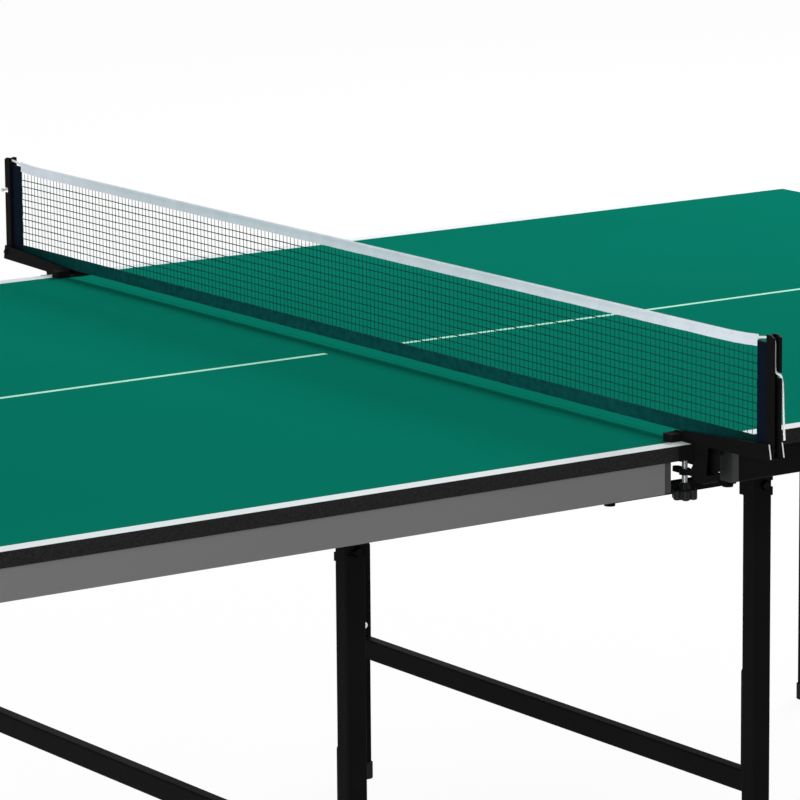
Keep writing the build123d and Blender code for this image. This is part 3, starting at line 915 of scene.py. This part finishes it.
@dataclass
class Net:
    """The net's mesh, tape, bottom band and end sleeves.

    The tape's fold runs from its top down, as half widths and depths in shares of the casing.
    """

    rows: int = 11
    cover: float = 0.38
    column_pitch: float = 9.2 * MM
    yarn_sides: int = 5
    run_radius: float = 0.7 * MM
    run_waves: tuple[Wave, ...] = (Wave(0.25 * MM, 38.0, skew=1.0), Wave(0.125 * MM, 101.0, skew=2.0))
    upright_radius: float = 0.42 * MM
    upright_jitter: float = 0.25 * MM
    knot_radius: float = 1.1 * MM
    seed: int = 5
    casing: float = 1.9 * MM
    tape_fold: tuple[tuple[float, float], ...] = (
        (0.0, 0.0), (0.75, 0.3), (1.0, 1.0), (0.8, 1.9), (0.5, 2.6),
    )
    tape_waist: float = 0.798 * MM
    tape_edge: float = 1.045 * MM
    tape_hem: float = 4.4 * MM
    tape_rings: int = 420
    tape_pucker: tuple[Wave, ...] = (Wave(0.18 * MM, 420.0), Wave(0.108 * MM, 173.0, start=1.0))
    tape_dip: tuple[Wave, ...] = (Wave(0.12 * MM, 97.0),)
    tape_lift: float = 2.4 * MM
    tape_lift_run: float = 60 * MM
    band_edge: float = 1.15 * MM
    band_flat: float = 0.75 * MM
    band_crest: float = 1.1 * MM
    band_hem: float = 2.64 * MM
    band_rings: int = 360
    band_ripple: tuple[Wave, ...] = (Wave(0.3 * MM, 150.0), Wave(0.2 * MM, 61.0))
    sleeve_depth: float = 2.6 * MM
    sleeve_sides: int = 20
    sleeve_roundness: float = 0.55
    sleeve_rings: int = 60
    sleeve_folds: tuple[Wave, ...] = (Wave(0.35 * MM, 31.0, skew=2.2), Wave(0.175 * MM, 67.0, skew=-1.3))
    stitch_pitch: float = 4.5 * MM
    stitch_length: float = 3.0 * MM
    stitch_radius: float = 0.3 * MM
    stitch_out: float = 0.95 * MM
    tape_stitch_inset: float = 2.2 * MM
    band_stitch_inset: float = 3.52 * MM

    def build(self) -> None:
        """Make the net's pieces."""
        yarns = show("net_yarns", ROOT, NET_YARN.build(), self.yarns())
        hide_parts("net_mesh")
        low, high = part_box("net_mesh")

        tape = show("net_top_tape", ROOT, NET_TAPE.build(), self.tape())
        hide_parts("net_tape")
        low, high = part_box("net_tape")
        tape_row = low.z + self.tape_stitch_inset

        band = show("net_lower_band", ROOT, NET_BINDING.build(), self.band())
        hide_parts("net_bottom_band")
        low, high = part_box("net_bottom_band")
        band_rows = (low.z + self.band_stitch_inset, high.z - self.band_stitch_inset)

        cloth = SLEEVE_CLOTH.build()
        low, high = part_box("net_sleeves")
        for edge in Edge:
            sleeve = show(f"{edge.word}_net_sleeve", ROOT, cloth, self.sleeve(edge))
            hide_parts("net_sleeves")
        show("binding_stitches", ROOT, STITCHING.build(), self.stitches(band_rows))
        show("tape_stitches", ROOT, TAPE_STITCHING.build(), self.stitches([tape_row]))

    def grid(self) -> tuple[Vector, Vector, int, float]:
        """Divide the mesh into columns and rows.

        Returns:
            The mesh's low and high corner, its number of columns and its row pitch.
        """
        low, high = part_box("net_mesh")
        columns = round((high.y - low.y) / self.column_pitch)
        return low, high, columns, (high.z - low.z) / self.rows

    def yarns(self) -> Shape:
        """All yarns of the mesh.

        Returns:
            The yarns' shape.
        """
        shape = bmesh.new()
        self.add_uprights(shape)
        self.add_runs(shape)
        return shape

    def add_uprights(self, shape: Shape) -> None:
        """Add the upright yarns with a knot at each crossing.

        Args:
            shape: The bmesh that grows.
        """
        low, high, columns, row_pitch = self.grid()
        draw = random.Random(self.seed)
        column = bmesh.new()
        middle = Matrix.Translation((0, 0, (low.z + high.z) / 2))
        bmesh.ops.create_cone(
            column, cap_ends=True, segments=self.yarn_sides, radius1=self.upright_radius,
            radius2=self.upright_radius, depth=high.z - low.z, matrix=middle,
        )
        for row in range(1, self.rows):
            spot = Matrix.Translation((0, 0, low.z + row * row_pitch))
            bmesh.ops.create_icosphere(column, subdivisions=1, radius=self.knot_radius, matrix=spot)
        mesh = template(column)
        step = (high.y - low.y) / columns
        places = []
        for count in range(columns + 1):
            shift = Vector((draw.uniform(-1, 1), draw.uniform(-1, 1), 0)) * self.upright_jitter
            places.append(Matrix.Translation(Vector((0, low.y + count * step, 0)) + shift))
        stamp(shape, mesh, places)

    def add_runs(self, shape: Shape) -> None:
        """Add the long yarns.

        Args:
            shape: The bmesh that grows.
        """
        low, high, columns, row_pitch = self.grid()
        draw = random.Random(self.seed + 1)
        run = Vector((0, high.y - low.y, 0))
        for row in range(1, self.rows):
            phase = draw.uniform(0, FULL_TURN)
            centre = Vector((0, low.y, low.z + row * row_pitch))
            corners = [Vector((x, 0, z)) for x, z in circle(self.yarn_sides)]
            outline = [centre + self.run_radius * corner for corner in corners]

            def wander(_: Vector, share: float) -> Vector:
                """Slow rise and fall of a yarn along the net."""
                return Vector((0, 0, ripple(self.run_waves, share, phase)))

            sweep(shape, outline, run, columns, wander)

    def strip(self, node: str, right: Sequence[tuple[float, float]], rings: int, drift: Drift) -> Shape:
        """Sweep a strip of cloth along the net.

        Args:
            node: The CAD node that it stands for.
            right: Right half of its profile, from the top down.
            rings: Number of rings between its ends.
            drift: Offset of a point, given the point and its share of the length.

        Returns:
            The strip's shape.
        """
        low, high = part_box(node)
        left = [(-x, z) for x, z in reversed(right) if x > 0]
        outline = [Vector((x, low.y, z)) for x, z in [*right, *left]]
        shape = bmesh.new()
        sweep(shape, outline, Vector((0, high.y - low.y, 0)), rings, drift)
        return shape

    def tape(self) -> Shape:
        """White tape folded over the cord, drawn up a little at each end.

        Returns:
            The tape's shape.
        """
        low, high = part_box("net_tape")
        bottom, top = low.z, high.z
        length = high.y - low.y
        right = [(across * self.casing, top - down * self.casing) for across, down in self.tape_fold]
        right += [(self.tape_waist, bottom + self.tape_hem), (self.tape_edge, bottom)]

        def pucker(point: Vector, share: float) -> Vector:
            """Find the small waves of the sewn edge and the pull of the cord at the ends.

            Args:
                point: A point of the tape.
                share: Its share of the length.

            Returns:
                The point's offset.
            """
            depth = (top - point.z) / (top - bottom)
            from_end = min(share, 1.0 - share) * length
            pull = max(0.0, 1.0 - from_end / self.tape_lift_run) ** 2
            rise = self.tape_lift * pull + ripple(self.tape_dip, share) * depth
            return Vector((ripple(self.tape_pucker, share) * depth, 0, rise))

        return self.strip("net_tape", right, self.tape_rings, pucker)

    def band(self) -> Shape:
        """Dark band along the bottom with a thicker hem at both edges.

        Returns:
            The band's shape.
        """
        low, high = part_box("net_bottom_band")
        hem = ((self.band_edge / 2, 0.0), (self.band_edge, self.band_crest), (self.band_flat, self.band_hem))
        right = [(x, high.z - inset) for x, inset in hem]
        right += [(x, low.z + inset) for x, inset in reversed(hem)]

        def sway(_: Vector, share: float) -> Vector:
            """Slight ripple of the band along the net."""
            return Vector((ripple(self.band_ripple, share), 0, 0))

        return self.strip("net_bottom_band", right, self.band_rings, sway)

    def sleeve(self, edge: Edge) -> Shape:
        """Dark sleeve at one post: a flattened tube of cloth with small folds.

        Args:
            edge: Which end of the net.

        Returns:
            The sleeve's shape.
        """
        low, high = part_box("net_sleeves")
        mesh_low, mesh_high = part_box("net_mesh")
        start, end = (low.y, mesh_low.y) if edge is Edge.NEAR else (mesh_high.y, high.y)
        middle, half = (start + end) / 2, (end - start) / 2
        outline = []
        for across, along in circle(self.sleeve_sides):
            rounded = math.copysign(abs(along) ** self.sleeve_roundness, along)
            outline.append(Vector((self.sleeve_depth * across, middle + half * rounded, low.z)))

        def fold(point: Vector, share: float) -> Vector:
            """Find the soft folds that run round the sleeve, smaller at its ends.

            Args:
                point: A point of the sleeve.
                share: Its share of the height.

            Returns:
                The point's offset.
            """
            calm = math.sin(math.pi * share)
            swell = ripple(self.sleeve_folds, share, (point.y - middle) / half)
            return Vector((math.copysign(1.0, point.x) * swell * calm, 0, 0))

        shape = bmesh.new()
        sweep(shape, outline, Vector((0, 0, high.z - low.z)), self.sleeve_rings, fold)
        return shape

    def stitches(self, heights: Iterable[float]) -> Shape:
        """Rows of stitches along the net, on both of its faces.

        Args:
            heights: Height of each row.

        Returns:
            The stitches' shape.
        """
        stitch = bmesh.new()
        bmesh.ops.create_icosphere(stitch, subdivisions=1, radius=1.0)
        size = Matrix.Diagonal((self.stitch_radius, self.stitch_length / 2, self.stitch_radius, 1.0))
        bmesh.ops.transform(stitch, matrix=size, verts=stitch.verts)
        low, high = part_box("net_bottom_band")
        count = int((high.y - low.y) / self.stitch_pitch)
        run = [low.y + (number + 0.5) * self.stitch_pitch for number in range(count)]
        faces = (-self.stitch_out, self.stitch_out)
        shape = bmesh.new()
        places = [Matrix.Translation((x, y, z)) for x in faces for z in heights for y in run]
        stamp(shape, template(stitch), places)
        return shape


@dataclass
class TensionCord:
    """The white cord that pulls the net's top taut: a free tail at the near post, a knot at the far one.

    Its routes are control points in millimetres, from the tape's end outwards.
    """

    diameter: float = 3 * MM
    near_route: tuple[Place, ...] = (
        (0.0, -872.8, 908.3), (0.0, -895.0, 911.8), (0.0, -905.7, 911.8), (0.0, -905.7, 893.8),
        (0.0, -905.7, 872.5), (2.5, -907.0, 868.5), (9.0, -908.4, 865.5), (10.2, -909.0, 845.0),
        (10.9, -909.0, 820.0), (13.0, -909.0, 786.0),
    )
    far_route: tuple[Place, ...] = (
        (0.0, 872.8, 908.3), (0.0, 895.0, 911.8), (0.0, 905.7, 911.8), (0.0, 905.7, 893.8),
        (0.0, 905.7, 872.5), (-2.5, 907.0, 868.5), (-6.0, 908.2, 867.5), (-11.5, 908.2, 867.5),
    )
    near_length: float = 161.3 * MM
    far_length: float = 84.3 * MM
    knot_length: float = 4 * MM
    ring_radius: float = 1.275 * MM
    ring_sides: int = 8
    ring_steps: int = 16
    ring_lean: float = 0.5

    def build(self) -> None:
        """Lay both ends of the cord and tie the far one."""
        finish = WHITE_CORD.build()
        near = self.lay("near_tension_cord", self.near_route, finish)
        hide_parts("near_cord")
        far = self.lay("far_tension_cord", self.far_route, finish)
        knot = show("far_cord_knot", ROOT, finish, self.knot())
        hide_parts("far_cord")

    def lay(self, name: str, route: Sequence[Place], finish: Material) -> bpy.types.Object:
        """Lay a cord as one smooth spline.

        Args:
            name: The piece's name.
            route: Its control points in millimetres.
            finish: Its material.

        Returns:
            The cord's curve.
        """
        curve = bpy.data.curves.new(name, "CURVE")
        curve.dimensions = "3D"
        curve.bevel_depth = self.diameter / 2
        curve.bevel_resolution = 4
        curve.use_fill_caps = True
        spline = curve.splines.new("NURBS")
        spline.points.add(len(route) - 1)
        for point, place in zip(spline.points, route):
            point.co = (*(MM * value for value in place), 1.0)
        spline.order_u = 3
        spline.use_endpoint_u = True
        spline.resolution_u = 10
        curve.materials.append(finish)
        piece = bpy.data.objects.new(name, curve)
        bpy.context.scene.collection.objects.link(piece)
        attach(piece, ROOT)
        log.info("piece %s rides %s with %d control points", name, ROOT, len(route))
        return piece

    def knot(self) -> Shape:
        """Overhand knot outside the far post's slot: two crossed rings of cord.

        Returns:
            The knot's shape.
        """
        shape = bmesh.new()
        centre = Vector(self.far_route[-1]) * MM - Vector((self.knot_length / 2, 0, 0))
        thick = self.diameter / 2
        for lean in (-self.ring_lean, self.ring_lean):
            start = len(shape.verts)
            points = [(self.ring_radius + thick * x, 0, thick * z) for x, z in circle(self.ring_sides)]
            spin_round(shape, wire(shape, points, closed=True), self.ring_steps)
            shape.verts.ensure_lookup_table()
            turned = Matrix.Translation(centre) @ Matrix.Rotation(math.pi / 2 + lean, 4, "Y")
            bmesh.ops.transform(shape, matrix=turned, verts=shape.verts[start:])
        return shape


@dataclass
class Studio:
    """Camera at the photograph's angle, soft light, white background and a pale floor."""

    eye: Place = (-3.6852, -5.4529, 2.0108)
    yaw: float = math.radians(34.614)
    pitch: float = math.radians(11.342)
    roll: float = math.radians(-0.473)
    lens: float = 223.0
    sensor: float = 36.0
    view_depth: float = 200.0
    world_light: float = 0.30
    aim: Place = (0.0, 0.0, 0.76)
    key_place: Place = (6.8, 3.2, 6.44)
    key_size: float = 4.4
    key_power: float = 850.0
    fill_place: Place = (-7.1, -5.2, 2.1)
    fill_size: float = 4.0
    fill_power: float = 490.0
    floor_size: float = 60.0
    floor_colour: Colour = (0.86, 0.86, 0.87)
    floor_roughness: float = 0.9
    floor_glow: float = 0.95

    def build(self) -> None:
        """Set up the camera, the light and the floor."""
        self.camera()
        self.world()
        self.lamp("key", self.key_place, self.key_size, self.key_power)
        self.lamp("fill", self.fill_place, self.fill_size, self.fill_power)
        self.floor()
        bpy.context.scene.view_settings.view_transform = "Standard"

    def camera(self) -> None:
        """Place the camera and make it the scene's."""
        data = bpy.data.cameras.new("camera")
        data.lens = self.lens
        data.sensor_width = self.sensor
        data.clip_end = self.view_depth
        level_share = math.cos(self.pitch)
        ahead = Vector((
            math.sin(self.yaw) * level_share, math.cos(self.yaw) * level_share, -math.sin(self.pitch),
        ))
        level = Vector((math.cos(self.yaw), -math.sin(self.yaw), 0.0))
        upright = level.cross(ahead)
        right = math.cos(self.roll) * level + math.sin(self.roll) * upright
        up = -math.sin(self.roll) * level + math.cos(self.roll) * upright
        turn = Matrix((right, up, -ahead)).transposed().to_4x4()
        camera = bpy.data.objects.new("camera", data)
        camera.matrix_world = Matrix.Translation(self.eye) @ turn
        bpy.context.scene.collection.objects.link(camera)
        bpy.context.scene.camera = camera

    def by_ray(self, tree: bpy.types.NodeTree, unseen: float, seen: float) -> Socket:
        """Add a value that tells the rays that show the background from those that light the object.

        Args:
            tree: The node tree to add it to.
            unseen: The value for rays that only light the object.
            seen: The value for camera, glossy and transmission rays.

        Returns:
            The value's socket.
        """
        path = tree.nodes.new("ShaderNodeLightPath")
        total = path.outputs["Is Camera Ray"]
        for ray in ("Is Glossy Ray", "Is Transmission Ray"):
            both = tree.nodes.new("ShaderNodeMath")
            both.operation = "MAXIMUM"
            tree.links.new(total, both.inputs[0])
            tree.links.new(path.outputs[ray], both.inputs[1])
            total = both.outputs[0]
        value = tree.nodes.new("ShaderNodeMapRange")
        value.inputs["To Min"].default_value = unseen
        value.inputs["To Max"].default_value = seen
        tree.links.new(total, value.inputs["Value"])
        return value.outputs["Result"]

    def world(self) -> None:
        """Light the scene evenly, and show white where a ray sees the background."""
        world = bpy.data.worlds.new("studio")
        bpy.context.scene.world = world
        world.use_nodes = True
        tree = world.node_tree
        background = tree.nodes["Background"]
        background.inputs["Color"].default_value = (1.0, 1.0, 1.0, 1.0)
        strength = self.by_ray(tree, unseen=self.world_light, seen=1.0)
        tree.links.new(strength, background.inputs["Strength"])

    def lamp(self, name: str, place: Place, size: float, power: float) -> None:
        """Hang one large soft lamp that faces the net.

        Args:
            name: The lamp's name.
            place: Where it hangs.
            size: Its diameter.
            power: Its power in watts.
        """
        data = bpy.data.lights.new(name, "AREA")
        data.shape = "DISK"
        data.size = size
        data.energy = power
        lamp = bpy.data.objects.new(name, data)
        aim = Vector(self.aim) - Vector(place)
        turn = aim.to_track_quat("-Z", "Y").to_matrix().to_4x4()
        lamp.matrix_world = Matrix.Translation(place) @ turn
        bpy.context.scene.collection.objects.link(lamp)

    def floor(self) -> None:
        """Lay a pale floor that reads white and keeps a soft shadow."""
        shape = bmesh.new()
        bmesh.ops.create_grid(shape, x_segments=4, y_segments=4, size=self.floor_size / 2)
        mesh = bpy.data.meshes.new("floor")
        shape.to_mesh(mesh)
        shape.free()
        material = bpy.data.materials.new("floor")
        material.use_nodes = True
        tree = material.node_tree
        shader = tree.nodes["Principled BSDF"]
        shader.inputs["Base Color"].default_value = (*self.floor_colour, 1.0)
        shader.inputs["Roughness"].default_value = self.floor_roughness
        shader.inputs["Specular IOR Level"].default_value = 0.0
        glow = tree.nodes.new("ShaderNodeEmission")
        glow.inputs["Strength"].default_value = 1.0
        mix = tree.nodes.new("ShaderNodeMixShader")
        share = self.by_ray(tree, unseen=0.0, seen=self.floor_glow)
        tree.links.new(share, mix.inputs["Fac"])
        tree.links.new(shader.outputs["BSDF"], mix.inputs[1])
        tree.links.new(glow.outputs["Emission"], mix.inputs[2])
        tree.links.new(mix.outputs["Shader"], tree.nodes["Material Output"].inputs["Surface"])
        mesh.materials.append(material)
        floor = bpy.data.objects.new("floor", mesh)
        bpy.context.scene.collection.objects.link(floor)


def main() -> None:
    """Build the studio, then every sub-assembly in order."""
    logging.basicConfig(level=logging.INFO)
    for part in (Studio(), TensionCord(), PlayingTop(), UnderFrame(), LegFrames(), ClampSet(), Net()):
        log.info("building %s", type(part).__name__)
        part.build()


if __name__ == "__main__":
    main()
